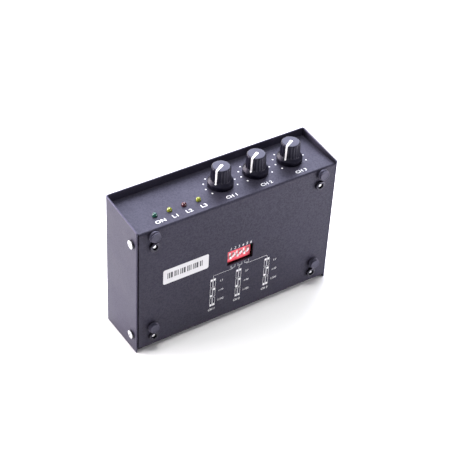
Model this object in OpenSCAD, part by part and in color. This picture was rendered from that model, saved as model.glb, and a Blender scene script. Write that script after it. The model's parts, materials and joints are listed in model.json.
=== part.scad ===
// Desktop radio-to-computer interface box: folded steel case, three level
// knobs, four indicator lamps and a six-way slide switch in the base plate.
// Frame: the box stands on its rear end. +Z points out of the control panel,
// -Y points out of the base plate, +X is to the right of a viewer who faces
// the base plate. The origin is the centre of the bounding box's footprint.
// Millimetres.

/* [Case] */
// Width of the base plate
base_w = 140.3; // [134:0.1:150]
// Length of the base plate, from the rear panel's face to the control panel's face
base_h = 91; // [86:0.2:96]
// Depth of the case, from the base plate's face to the cover's back
case_d = 36.9; // [35:0.1:42]
// Thickness of the sheet steel
sheet_t = 1.0; // [0.8:0.1:1.2]
// Mean gap between the edge of the base plate and the cover's side
side_gap = 0.45; // [0.4:0.05:1]
// How far the chassis sits to the right of the cover's middle
seat_shift = 0.24; // [0:0.02:0.3]
// How far the cover's back stands above the control panel
visor = 5.4; // [4:0.2:10]
// How far the front corners of the cover's sides stand above the control panel
front_lip = 2.1; // [0.3:0.1:4]
// How far the cover reaches past the rear panel
rear_lip = 1.9; // [1.6:0.1:4]
// Outside radius of the folds
bend_r = 1.5; // [1.3:0.1:2]

/* [Feet and screws] */
// Height of the rubber feet
foot_h = 3.4; // [2.6:0.1:5]
// Diameter of a foot at the base plate
foot_d = 7.4; // [6.8:0.1:7.4]
// Diameter of a foot's face
foot_face_d = 6.5; // [4.5:0.1:6.6]
// Distance between the feet, left to right
foot_dx = 120.4; // [110:0.1:122]
// Height of the lower feet above the case's rear edge
foot_z_low = 17.7; // [17.6:0.1:20]
// Height of the upper feet above the case's rear edge
foot_z_high = 89.2; // [88.6:0.1:89.2]
// Distance between the board screws, left to right
board_dx = 118.8; // [116:0.1:119]
// Middle of the board and its screws along X
board_x = -0.5; // [-0.6:0.1:0.6]
// Height of the lower board screws
board_z_low = 10.1; // [9.6:0.1:10.4]
// Height of the upper board screws
board_z_high = 81.1; // [78:0.1:81.4]
// Distance of the cover screws from the base plate's face
cover_screw_y = 5.2; // [5:0.1:8]
// Height of the lower cover screws
cover_screw_z_low = 12.2; // [9:0.1:14]
// Height of the upper cover screws
cover_screw_z_high = 83.7; // [72:0.1:84]
// Diameter of the cover screws' pan heads
head_d = 6; // [5:0.1:6]
// Diameter of the board screws' heads
socket_head_d = 6.4; // [5.6:0.1:6.6]

/* [Knobs] */
// Position of the first knob along X
knob_x = -3.1; // [-6:0.1:-2]
// Distance between the knobs
knob_pitch = 25.4; // [20:0.1:25.4]
// Distance of the knobs from the base plate's face
knob_y = 17.9; // [17.4:0.1:18.5]
// Diameter of the skirt
skirt_d = 16.1; // [15:0.1:17]
// Diameter of the fluted body at the skirt
grip_d = 12.8; // [12.2:0.1:13]
// Diameter of the fluted body at the top
top_d = 12; // [11:0.1:12.2]
// Height of the knob's top above the control panel
knob_top = 13.9; // [13:0.1:20]
// Number of flutes
flutes = 20; // [12:1:26]
// Width of the white pointer
pointer_w = 1.8; // [1:0.1:2]
// How far the pointer reaches past the knob's axis
pointer_back = 0.6; // [0:0.1:2]
// Angle of the pointers at rest, from +X
pointer_a = 210; // [0:1:359]

/* [Slide switch] */
// Centre of the switch along X
dip_x = 2.35; // [-10:0.05:10]
// Centre of the switch along Z
dip_z = 48.3; // [40:0.05:52]
// Distance between the sliders
dip_pitch = 2.54; // [2.54:0.01:2.54]
// How far the switch's face lies behind the base plate's face
dip_recess = 2.0; // [1.6:0.1:2.2]
// Travel of a slider
dip_travel = 1.9; // [1.6:0.1:2]

/* [Lamps] */
// Position of the first lamp along X
led_x = -52.8; // [-54:0.1:-48]
// Distance between the lamps
led_pitch = 10; // [8:0.1:10]
// Distance of the lamps from the base plate's face
led_y = 11.4; // [10.8:0.1:12]
// Diameter of a lamp
led_d = 3.2; // [3:0.1:3.2]
// How far a lamp stands out of the control panel
led_out = 2.1; // [1.6:0.1:2.4]

/* [Rear sockets] */
// Centre of the square data socket along X
usb_x = -44; // [-50:0.5:-36]
// Centre of the modular socket along X
line_x = -14; // [-18:0.5:-10]
// Centre of the first round socket along X
jack_x = 16; // [12:0.5:20]
// Distance between the round sockets
jack_pitch = 16; // [14:0.5:20]
// Radius of a round socket's bore
jack_r = 1.8; // [1.8:0.05:1.9]

/* [Hidden] */
$fn = 64;
yb = -(case_d + foot_h) / 2 + foot_h;   // base plate's face
yc = yb + case_d;                       // cover's back face
yi = yc - sheet_t - 0.2;                // edge of the panels under the cover
zr = rear_lip;                          // rear panel's face
zf = rear_lip + base_h;                 // control panel's face
zv = zf + visor;                        // top edge of the cover's back
bx0 = seat_shift - base_w / 2;          // left edge of the base plate
bx1 = seat_shift + base_w / 2;          // right edge of the base plate
cw = base_w + 2 * (side_gap + sheet_t); // width over the cover
dip_h = 5.6;                            // height of the switch's body
pcb_y = yb + dip_recess + dip_h;        // board face towards the base plate
pcb_t = 1.6;
pcb_i = pcb_y + pcb_t;                  // board face that carries the parts
pcb_w = 126;
pcb_z0 = zr + sheet_t + 0.4;
pcb_z1 = zf - 7.8;
ky = yb + knob_y;
ly = yb + led_y;
dip_l = 6 * dip_pitch + 2.06;
dip_w = 9.9;
pot_z = zf - 10.8;                      // row of the level controls' pins
led_pin_z = zf - 10.55;                 // row of the lamps' pins
slider_w = 1.3;
slider_l = 1.9;
high = [false, true, false, true, false, true];
jack_y = pcb_i + 4.5;
nose_r = 2.9;                           // nose of a round socket
usb_y = pcb_i + 5.4;
line_y = pcb_i + 6.6;

function kx(i) = knob_x + (i - 1) * knob_pitch;
function lx(i) = led_x + (i - 1) * led_pitch;
function jx(i) = jack_x + (i - 1) * jack_pitch;
function bx(s) = board_x + s * board_dx / 2;
function sx(i) = dip_x + (i - 3.5) * dip_pitch;

// ---- small helpers -------------------------------------------------------

// A box given by its low and high corners
module block(a, b) { translate(a) cube([b[0] - a[0], b[1] - a[1], b[2] - a[2]]); }

// Round bar along Y, from y0 to y1
module bar_y(x, y0, y1, z, r) { translate([x, y0, z]) rotate([-90, 0, 0]) cylinder(r = r, h = y1 - y0); }

// Round bar along X, from x0 to x1
module bar_x(x0, x1, y, z, r) { translate([x0, y, z]) rotate([0, 90, 0]) cylinder(r = r, h = x1 - x0); }

// Round bar along Z, from z0 to z1
module bar_z(x, y, z0, z1, r) { translate([x, y, z0]) cylinder(r = r, h = z1 - z0); }

// Rectangle whose two corners on the low-u side are rounded
module two_round(u0, v0, u1, v1, r) {
    translate([u0 + r, v0]) square([u1 - u0 - r, v1 - v0]);
    translate([u0, v0 + r]) square([2 * r, v1 - v0 - 2 * r]);
    translate([u0 + r, v0 + r]) circle(r);
    translate([u0 + r, v1 - r]) circle(r);
}

// Pan-head screw along +Z: the head's underside is at z = 0
module pan_screw(r, h, shank_r, shank_l) {
    rise = 0.9;
    big = (r * r + rise * rise) / (2 * rise);
    difference() {
        union() {
            intersection() {
                cylinder(r = r, h = h);
                translate([0, 0, h - big]) sphere(r = big, $fn = 96);
            }
            translate([0, 0, -shank_l]) cylinder(r = shank_r, h = shank_l + 0.2);
        }
        for (a = [0, 90]) rotate([0, 0, a])
            translate([-1.6, -0.35, h - 1.2]) cube([3.2, 0.7, 2]);
    }
}

// Socket-head screw along +Z with a hexagon socket: the head's underside is at z = 0
module socket_screw(r, h, shank_r, shank_l) {
    difference() {
        union() {
            rotate_extrude()
                polygon([[0, 0], [r, 0], [r, h - 0.55], [r - 0.15, h - 0.2], [r - 0.5, h], [0, h]]);
            translate([0, 0, -shank_l]) cylinder(r = shank_r, h = shank_l + 0.2);
        }
        translate([0, 0, h - 1.4]) cylinder(r = 2.1, h = 2, $fn = 6);
    }
}

// ---- case ----------------------------------------------------------------

// Folded chassis: base plate, control panel, rear panel and screw tabs
module base_chassis() {
    color([0.15, 0.15, 0.17]) difference() {
        union() {
            translate([bx0, 0, 0]) rotate([90, 0, 90]) linear_extrude(base_w)
                difference() {
                    two_round(yb, zr, yi, zf, bend_r);
                    two_round(yb + sheet_t, zr + sheet_t, yi + 5, zf - sheet_t, bend_r - sheet_t);
                }
            for (s = [-1, 1], z = [cover_screw_z_low, cover_screw_z_high])
                block([s > 0 ? bx1 - sheet_t : bx0, yb + sheet_t / 2, z - 5.5],
                      [s > 0 ? bx1 : bx0 + sheet_t, yb + 12.4, z + 5.5]);
        }
        // window of the slide switch
        block([dip_x - 9.4, yb - 1, dip_z - 5.4], [dip_x + 9.4, yb + sheet_t + 1, dip_z + 5.4]);
        // board screws
        for (s = [-1, 1], z = [board_z_low, board_z_high])
            bar_y(bx(s), yb - 1, yb + sheet_t + 0.4, z, 1.6);
        // tapped holes in the tabs
        for (s = [-1, 1], z = [cover_screw_z_low, cover_screw_z_high])
            bar_x(seat_shift + s * base_w / 2 - 2, seat_shift + s * base_w / 2 + 2, yb + cover_screw_y, z, 1.5);
        // level controls and lamps in the control panel
        for (i = [1:3]) bar_z(kx(i), ky, zf - sheet_t - 0.4, zf + 1, 3.6);
        for (i = [1:4]) bar_z(lx(i), ly, zf - sheet_t - 0.4, zf + 1, led_d / 2 + 0.1);
        // sockets in the rear panel
        block([usb_x - 6.2, usb_y - 5.6, zr - 1], [usb_x + 6.2, usb_y + 5.6, zr + sheet_t + 0.3]);
        block([line_x - 8.2, line_y - 6.8, zr - 1], [line_x + 8.2, line_y + 6.8, zr + sheet_t + 0.3]);
        for (i = [1:2]) bar_z(jx(i), jack_y, zr - 1, zr + sheet_t + 0.3, nose_r + 0.2);
    }
}

// Folded cover: back plate and two sides, whose front edges slope up to the visor
module top_cover() {
    rise = (visor - front_lip) / case_d;
    color([0.17, 0.17, 0.19]) difference() {
        linear_extrude(zv) difference() {
            rotate([0, 0, -90]) two_round(-yc, -cw / 2, -yb, cw / 2, bend_r);
            rotate([0, 0, -90]) two_round(-yc + sheet_t, -cw / 2 + sheet_t, -yb + 5, cw / 2 - sheet_t, bend_r - sheet_t);
        }
        translate([-cw / 2 - 1, 0, 0]) rotate([90, 0, 90]) linear_extrude(cw + 2)
            polygon([[yb - 1, zf + front_lip - rise], [yc - sheet_t, zv - rise * sheet_t],
                     [yc - sheet_t, zv + 2], [yb - 1, zv + 2]]);
        for (s = [-1, 1], z = [cover_screw_z_low, cover_screw_z_high])
            bar_x(s * cw / 2 - 2, s * cw / 2 + 2, yb + cover_screw_y, z, 1.7);
    }
}

// Four pan-head screws that hold the cover to the chassis
module cover_screws() {
    color([0.8, 0.8, 0.8])
        for (s = [-1, 1], z = [cover_screw_z_low, cover_screw_z_high])
            translate([s * cw / 2, yb + cover_screw_y, z]) rotate([0, s * 90, 0]) rotate([0, 0, 20])
                pan_screw(head_d / 2, 1.9, 1.45, 5);
}

// Four stepped rubber feet
module rubber_feet() {
    color([0.06, 0.06, 0.06])
        for (s = [-1, 1], z = [foot_z_low, foot_z_high])
            translate([s * foot_dx / 2, yb, z]) rotate([90, 0, 0]) rotate_extrude()
                polygon([[0, 0], [foot_d / 2, 0], [foot_d / 2, 1.5], [foot_d / 2 - 0.25, 1.8],
                         [foot_face_d / 2, 1.8], [foot_face_d / 2, foot_h - 0.5],
                         [foot_face_d / 2 - 0.15, foot_h - 0.15], [foot_face_d / 2 - 0.5, foot_h], [0, foot_h]]);
}

// Four dark screws through the base plate into the spacers
module board_screws() {
    color([0.05, 0.05, 0.05])
        for (s = [-1, 1], z = [board_z_low, board_z_high])
            translate([bx(s), yb, z]) rotate([90, 0, 0]) rotate([0, 0, 30])
                socket_screw(socket_head_d / 2, 1.9, 1.45, 4);
}

// ---- board ---------------------------------------------------------------

// Four tapped hexagon spacers between the base plate and the board
module board_spacers() {
    color([0.78, 0.72, 0.5]) difference() {
        for (s = [-1, 1], z = [board_z_low, board_z_high])
            translate([bx(s), yb + sheet_t, z]) rotate([-90, 0, 0])
                cylinder(r = 3.175, h = pcb_y - yb - sheet_t, $fn = 6);
        for (s = [-1, 1], z = [board_z_low, board_z_high])
            bar_y(bx(s), yb, pcb_y + 1, z, 1.5);
    }
}

// Four screws that hold the board to the spacers
module pcb_screws() {
    color([0.75, 0.75, 0.75])
        for (s = [-1, 1], z = [board_z_low, board_z_high])
            translate([bx(s), pcb_i, z]) rotate([-90, 0, 0])
                pan_screw(2.75, 1.8, 1.45, pcb_t + 2.2);
}

// Circuit board with its mounting holes and pin holes
module main_board() {
    color([0.1, 0.35, 0.18]) difference() {
        block([board_x - pcb_w / 2, pcb_y, pcb_z0], [board_x + pcb_w / 2, pcb_i, pcb_z1]);
        for (s = [-1, 1], z = [board_z_low, board_z_high])
            bar_y(bx(s), pcb_y - 1, pcb_i + 1, z, 1.6);
        for (i = [1:6], s = [-1, 1])
            block([sx(i) - 0.45, pcb_y - 1, dip_z + s * 3.81 - 0.45], [sx(i) + 0.45, pcb_i + 1, dip_z + s * 3.81 + 0.45]);
        for (i = [1:3], s = [-1:1])
            block([kx(i) + 5 * s - 0.7, pcb_y - 1, pot_z - 0.55], [kx(i) + 5 * s + 0.7, pcb_i + 1, pot_z + 0.55]);
        for (i = [1:4], s = [-1, 1])
            block([lx(i) + 1.27 * s - 0.45, pcb_y - 1, led_pin_z - 0.45], [lx(i) + 1.27 * s + 0.45, pcb_i + 1, led_pin_z + 0.45]);
    }
}

// ---- slide switch --------------------------------------------------------

// Red housing with one slot for each slider
module dip_body() {
    f = yb + dip_recess;
    color([0.85, 0.08, 0.1]) difference() {
        block([dip_x - dip_l / 2, f, dip_z - dip_w / 2], [dip_x + dip_l / 2, pcb_y, dip_z + dip_w / 2]);
        for (i = [1:6])
            block([sx(i) - slider_w / 2 - 0.2, f - 1, dip_z - slider_l / 2 - dip_travel / 2 - 0.35],
                  [sx(i) + slider_w / 2 + 0.2, f + 2.6, dip_z + slider_l / 2 + dip_travel / 2 + 0.35]);
    }
}

// Twelve pins of the slide switch
module dip_pins() {
    color([0.8, 0.78, 0.7])
        for (i = [1:6], s = [-1, 1])
            block([sx(i) - 0.25, pcb_y, dip_z + s * 3.81 - 0.25], [sx(i) + 0.25, pcb_i + 1, dip_z + s * 3.81 + 0.25]);
}

// One white slider, at the end of its slot where it stands at rest
module dip_slider(i) {
    z = dip_z + (high[i - 1] ? 1 : -1) * dip_travel / 2;
    f = yb + dip_recess;
    color([0.95, 0.95, 0.93]) difference() {
        block([sx(i) - slider_w / 2, f - 1.2, z - slider_l / 2], [sx(i) + slider_w / 2, f + 2.3, z + slider_l / 2]);
        translate([sx(i) - 2, f - 1.2, z]) rotate([0, 90, 0]) cylinder(r = 0.35, h = 4, $fn = 24);
    }
}
module dip_slider_1() { dip_slider(1); }
module dip_slider_2() { dip_slider(2); }
module dip_slider_3() { dip_slider(3); }
module dip_slider_4() { dip_slider(4); }
module dip_slider_5() { dip_slider(5); }
module dip_slider_6() { dip_slider(6); }

// ---- level controls ------------------------------------------------------

// Rotary control: can, front plate, threaded bushing, wafer and pins
module pot_body(i) {
    zi = zf - sheet_t;
    color([0.55, 0.55, 0.57]) difference() {
        union() {
            bar_z(kx(i), ky, zi - 9, zi - 1, 8);
            block([kx(i) - 7, ky - 7.8, zi - 1.2], [kx(i) + 7, ky + 7, zi]);
            bar_z(kx(i), ky, zi - 1, zf + 3.4, 3.5);
            block([kx(i) - 7, pcb_i, zi - 10.6], [kx(i) + 7, ky, zi - 8.8]);
            for (s = [-1:1])
                block([kx(i) + 5 * s - 0.5, pcb_y - 0.8, pot_z - 0.3], [kx(i) + 5 * s + 0.5, pcb_i + 1, pot_z + 0.3]);
        }
        bar_z(kx(i), ky, zi - 6, zf + 5, 3.05);
    }
}
module pot_body_1() { pot_body(1); }
module pot_body_2() { pot_body(2); }
module pot_body_3() { pot_body(3); }

// Shaft that turns in the bushing and carries the knob
module pot_shaft(i) {
    color([0.8, 0.8, 0.78]) bar_z(kx(i), ky, zf - sheet_t - 5.7, zf + knob_top - 2.2, 3.0);
}
module pot_shaft_1() { pot_shaft(1); }
module pot_shaft_2() { pot_shaft(2); }
module pot_shaft_3() { pot_shaft(3); }

// Hexagon nuts on the bushings
module pot_nuts() {
    color([0.8, 0.8, 0.8]) difference() {
        for (i = [1:3]) translate([kx(i), ky, zf + 0.5]) cylinder(r = 5.2, h = 2, $fn = 6);
        for (i = [1:3]) bar_z(kx(i), ky, zf, zf + 4, 3.55);
    }
}

// Flat washers under the nuts
module pot_washers() {
    color([0.75, 0.75, 0.75]) difference() {
        for (i = [1:3]) bar_z(kx(i), ky, zf, zf + 0.5, 5.3);
        for (i = [1:3]) bar_z(kx(i), ky, zf - 1, zf + 1, 3.55);
    }
}

// Outline of the pointer in a plane through the knob's axis: out is the reach past the knob
module pointer_outline(out) {
    t = knob_top;
    polygon([[-pointer_back, t - 0.4], [top_d / 2 - 1.2, t - 0.4], [grip_d / 2 - 1, t - 1.6], [grip_d / 2 - 1, 4.9],
             [grip_d / 2 + 0.04 + out, 4.9], [top_d / 2 + 0.04 + out, t - 1], [top_d / 2 - 0.26 + out, t - 0.26 + out],
             [top_d / 2 - 1, t + 0.04 + out], [-pointer_back, t + 0.04 + out]]);
}

// White pointer: across the top from behind the axis, then down the side to the skirt
module pointer_solid(out) {
    rotate([0, 0, pointer_a]) {
        translate([0, pointer_w / 2, 0]) rotate([90, 0, 0]) linear_extrude(pointer_w) pointer_outline(out);
        translate([-pointer_back, 0, knob_top - 0.4]) cylinder(r = pointer_w / 2, h = 0.44 + out);
    }
}

// Fluted knob with a skirt, hollow below for the nut
module knob(i) {
    t = knob_top;
    g = grip_d / 2;
    lean = atan((grip_d - top_d) / 2 / (t - 4.6));
    color([0.08, 0.08, 0.09]) translate([kx(i), ky, zf]) difference() {
        rotate_extrude($fn = 96)
            polygon([[0, 0.4], [skirt_d / 2 - 0.2, 0.4], [skirt_d / 2, 0.6], [skirt_d / 2, 3],
                     [skirt_d / 2 - 0.2, 3.3], [g + 0.15, 4.5], [g, 4.7],
                     [top_d / 2, t - 1], [top_d / 2 - 0.3, t - 0.3], [top_d / 2 - 1, t], [0, t]]);
        for (k = [1:flutes - 1]) rotate([0, 0, pointer_a + k * 360 / flutes])
            translate([g + 0.15, 0, 4.75]) rotate([0, -lean, 0]) cylinder(r = 0.5, h = t, $fn = 24);
        bar_z(0, 0, -1, 4.0, 5.7);
        bar_z(0, 0, 3, t - 2.0, 3.02);
        pointer_solid(1);
    }
}
module knob_1() { knob(1); }
module knob_2() { knob(2); }
module knob_3() { knob(3); }

module knob_pointer(i) {
    color([0.95, 0.95, 0.95]) translate([kx(i), ky, zf]) pointer_solid(0);
}
module knob_pointer_1() { knob_pointer(1); }
module knob_pointer_2() { knob_pointer(2); }
module knob_pointer_3() { knob_pointer(3); }

// ---- lamps ---------------------------------------------------------------

// Round lamp with a domed lens and a flange behind the panel
module led(i, c) {
    r = led_d / 2;
    z0 = zf + led_out - 5.3;
    color(c) translate([lx(i), ly, z0]) {
        cylinder(r = r + 0.4, h = 1);
        cylinder(r = r, h = 5.3 - r);
        translate([0, 0, 5.3 - r]) sphere(r = r);
    }
}
module led_1() { led(1, [0.1, 0.45, 0.4]); }
module led_2() { led(2, [0.6, 0.65, 0.2]); }
module led_3() { led(3, [0.4, 0.06, 0.1]); }
module led_4() { led(4, [0.6, 0.65, 0.2]); }

// Bent wires of the lamps
module led_leads() {
    z0 = zf + led_out - 5.3;
    color([0.8, 0.8, 0.78])
        for (i = [1:4], s = [-1, 1]) {
            block([lx(i) + 1.27 * s - 0.25, ly - 0.25, led_pin_z - 0.25], [lx(i) + 1.27 * s + 0.25, ly + 0.25, z0]);
            block([lx(i) + 1.27 * s - 0.25, pcb_y - 0.8, led_pin_z - 0.25], [lx(i) + 1.27 * s + 0.25, ly + 0.25, led_pin_z + 0.25]);
        }
}

// ---- rear sockets --------------------------------------------------------

// Metal shell of the square data socket
module usb_shell() {
    color([0.75, 0.75, 0.76]) difference() {
        block([usb_x - 6, usb_y - 5.4, zr], [usb_x + 6, usb_y + 5.4, zr + 16]);
        block([usb_x - 5.6, usb_y - 5.0, zr - 1], [usb_x + 5.6, usb_y + 5.0, zr + 17]);
    }
}

// Moulded insert with the cavity and its tongue
module usb_insert() {
    color([0.9, 0.9, 0.88]) {
        difference() {
            block([usb_x - 5.6, usb_y - 5.0, zr + 0.4], [usb_x + 5.6, usb_y + 5.0, zr + 16]);
            translate([usb_x, usb_y, zr - 1]) linear_extrude(10.4)
                polygon([[-4.3, -3.95], [4.3, -3.95], [4.3, 2.3], [2.65, 3.95], [-2.65, 3.95], [-4.3, 2.3]]);
        }
        block([usb_x - 2.85, usb_y - 1.6, zr + 1.2], [usb_x + 2.85, usb_y + 1.6, zr + 9.6]);
    }
}

// Four contact strips on the tongue
module usb_contacts() {
    color([0.85, 0.7, 0.35])
        for (s = [-1, 1], d = [-1, 1])
            block([usb_x + s * 1.25 - 0.5, usb_y + (d > 0 ? 1.6 : -1.75), zr + 2],
                  [usb_x + s * 1.25 + 0.5, usb_y + (d > 0 ? 1.75 : -1.6), zr + 9.4]);
}

// Eight-way modular socket
module line_socket() {
    color([0.1, 0.1, 0.11]) difference() {
        block([line_x - 8, line_y - 6.6, zr], [line_x + 8, line_y + 6.6, zr + 18]);
        block([line_x - 5.9, line_y - 1.8, zr - 1], [line_x + 5.9, line_y + 5.0, zr + 13]);
        block([line_x - 3.1, line_y - 4.0, zr - 1], [line_x + 3.1, line_y - 1.6, zr + 13]);
        block([line_x - 1.7, line_y - 4.8, zr - 1], [line_x + 1.7, line_y - 3.8, zr + 13]);
    }
}

// Eight spring contacts in the modular socket
module line_contacts() {
    color([0.85, 0.7, 0.35])
        for (k = [0:7])
            block([line_x + (k - 3.5) * 1.02 - 0.2, line_y + 4.4, zr + 2.4],
                  [line_x + (k - 3.5) * 1.02 + 0.2, line_y + 4.8, zr + 13]);
}

// Round socket for a 3.5 mm plug: its nose stands out of the rear panel, and the
// bore starts behind a wider mouth
module jack(i) {
    z0 = zr + sheet_t;
    z1 = z0 + 0.3;
    color([0.08, 0.08, 0.08]) difference() {
        union() {
            block([jx(i) - 5, pcb_i, z0], [jx(i) + 5, pcb_i + 9, z0 + 14]);
            bar_z(jx(i), jack_y, zr - 0.8, z0 + 1, nose_r);
        }
        bar_z(jx(i), jack_y, zr - 2, z1, jack_r + 0.4);
        bar_z(jx(i), jack_y, zr, z1 + 12, jack_r);
    }
}
module jack_1() { jack(1); }
module jack_2() { jack(2); }

// ---- parts on the board --------------------------------------------------

tr_z = 62;

// Laminated cores of the three isolating transformers
module transformer_cores() {
    color([0.35, 0.35, 0.38]) difference() {
        for (i = [1:3]) block([kx(i) - 8, pcb_i + 3.5, tr_z - 7], [kx(i) + 8, pcb_i + 8.5, tr_z + 7]);
        for (i = [1:3]) block([kx(i) - 5.2, pcb_i, tr_z - 4.4], [kx(i) + 5.2, pcb_i + 12, tr_z + 4.4]);
    }
}

// Wound coils, standing on the board inside the cores
module transformer_coils() {
    color([0.75, 0.6, 0.2])
        for (i = [1:3]) block([kx(i) - 5, pcb_i, tr_z - 4.2], [kx(i) + 5, pcb_i + 12, tr_z + 4.2]);
}

// Interface controller chip
module usb_chip() {
    color([0.1, 0.1, 0.1]) block([-45, pcb_i, 30], [-35, pcb_i + 1.5, 40]);
}

// Audio converter chip
module codec_chip() {
    color([0.1, 0.1, 0.1]) block([-20, pcb_i, 32], [-13, pcb_i + 1.5, 39]);
}

// Four isolating couplers
module optocouplers() {
    color([0.92, 0.92, 0.9])
        for (k = [0:3]) block([16 + k * 9, pcb_i, 28], [22.4 + k * 9, pcb_i + 3.5, 32.6]);
}

// Round capacitors
module capacitors() {
    color([0.15, 0.18, 0.35]) {
        for (k = [0:2]) bar_y(-50 + k * 12, pcb_i, pcb_i + 7, 56, 2.5);
        for (k = [0:3]) bar_y(14 + k * 13, pcb_i, pcb_i + 11, 44, 3.15);
    }
}

// Crystal can
module crystal() {
    color([0.8, 0.8, 0.8]) {
        block([-32, pcb_i, 31], [-25, pcb_i + 3.5, 35.6]);
        bar_y(-32, pcb_i, pcb_i + 3.5, 33.3, 2.3);
        bar_y(-25, pcb_i, pcb_i + 3.5, 33.3, 2.3);
    }
}

// Paper label on the base plate
module label_sticker() {
    x0 = -53.2; x1 = -21.1; z0 = 47.7; z1 = 58.8; r = 1.3;
    color([0.96, 0.96, 0.96]) translate([0, yb, 0]) rotate([90, 0, 0]) linear_extrude(0.1) {
        translate([x0 + r, z0]) square([x1 - x0 - 2 * r, z1 - z0]);
        translate([x0, z0 + r]) square([x1 - x0, z1 - z0 - 2 * r]);
        for (x = [x0 + r, x1 - r], z = [z0 + r, z1 - r]) translate([x, z]) circle(r);
    }
}

base_chassis();
top_cover();
cover_screws();
rubber_feet();
board_screws();
board_spacers();
pcb_screws();
main_board();
dip_body();
dip_pins();
dip_slider_1();
dip_slider_2();
dip_slider_3();
dip_slider_4();
dip_slider_5();
dip_slider_6();
pot_body_1();
pot_body_2();
pot_body_3();
pot_shaft_1();
pot_shaft_2();
pot_shaft_3();
pot_nuts();
pot_washers();
knob_1();
knob_2();
knob_3();
knob_pointer_1();
knob_pointer_2();
knob_pointer_3();
led_1();
led_2();
led_3();
led_4();
led_leads();
usb_shell();
usb_insert();
usb_contacts();
line_socket();
line_contacts();
jack_1();
jack_2();
transformer_cores();
transformer_coils();
usb_chip();
codec_chip();
optocouplers();
capacitors();
crystal();
label_sticker();
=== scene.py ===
import json
import math

import bmesh
import bpy
from mathutils import Matrix, Vector


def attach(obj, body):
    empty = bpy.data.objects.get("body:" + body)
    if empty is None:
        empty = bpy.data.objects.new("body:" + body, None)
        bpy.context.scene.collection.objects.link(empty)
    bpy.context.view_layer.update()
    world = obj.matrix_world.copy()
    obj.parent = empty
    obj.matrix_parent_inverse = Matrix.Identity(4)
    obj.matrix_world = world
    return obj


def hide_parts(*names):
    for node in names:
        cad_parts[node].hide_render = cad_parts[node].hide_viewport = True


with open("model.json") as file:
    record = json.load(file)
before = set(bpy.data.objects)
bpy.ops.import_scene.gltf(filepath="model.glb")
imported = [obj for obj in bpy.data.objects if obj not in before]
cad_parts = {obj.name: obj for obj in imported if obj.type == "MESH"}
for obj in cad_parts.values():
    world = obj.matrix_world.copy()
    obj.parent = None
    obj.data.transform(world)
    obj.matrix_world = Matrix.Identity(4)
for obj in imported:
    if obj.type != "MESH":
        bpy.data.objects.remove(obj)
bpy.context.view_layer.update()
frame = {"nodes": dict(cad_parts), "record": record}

scene = bpy.context.scene
nodes = frame["nodes"]

# Millimetres in the row frame; meshes are scaled to metres when they are made.
MM = 0.001
YB, YC = -16.75, 20.15      # base plate's face, cover's back
YI = 18.95                  # edge of the panels under the cover
ZR, ZF, ZV = 1.9, 92.9, 98.3    # rear panel's face, control panel's face, visor's edge
SIDE = 71.6                 # cover's side face
BX0, BX1 = -69.91, 70.39    # edges of the base plate
LIP = 2.1                   # front corners of the cover's sides above the control panel
COVER_Y, COVER_Z = YB + 5.2, (12.2, 83.7)
BOARD_X, BOARD_Z = (-59.9, 58.9), (10.1, 81.1)
FOOT_X, FOOT_Z = (-60.2, 60.2), (17.7, 89.2)
KNOB_X = (-3.1, 22.3, 47.7)
KNOB_Y = YB + 17.9
POINTER = math.radians(210)
LAMP_X = (-52.8, -42.8, -32.8, -22.8)
LAMP_Y = YB + 11.4
DIP_X, DIP_Z, DIP_FACE = 2.35, 48.3, YB + 2.0
DIP_PITCH = 2.54
BOARD_Y = YB + 7.6          # board's face towards the base plate


# ---- node helpers ----------------------------------------------------------


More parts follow.
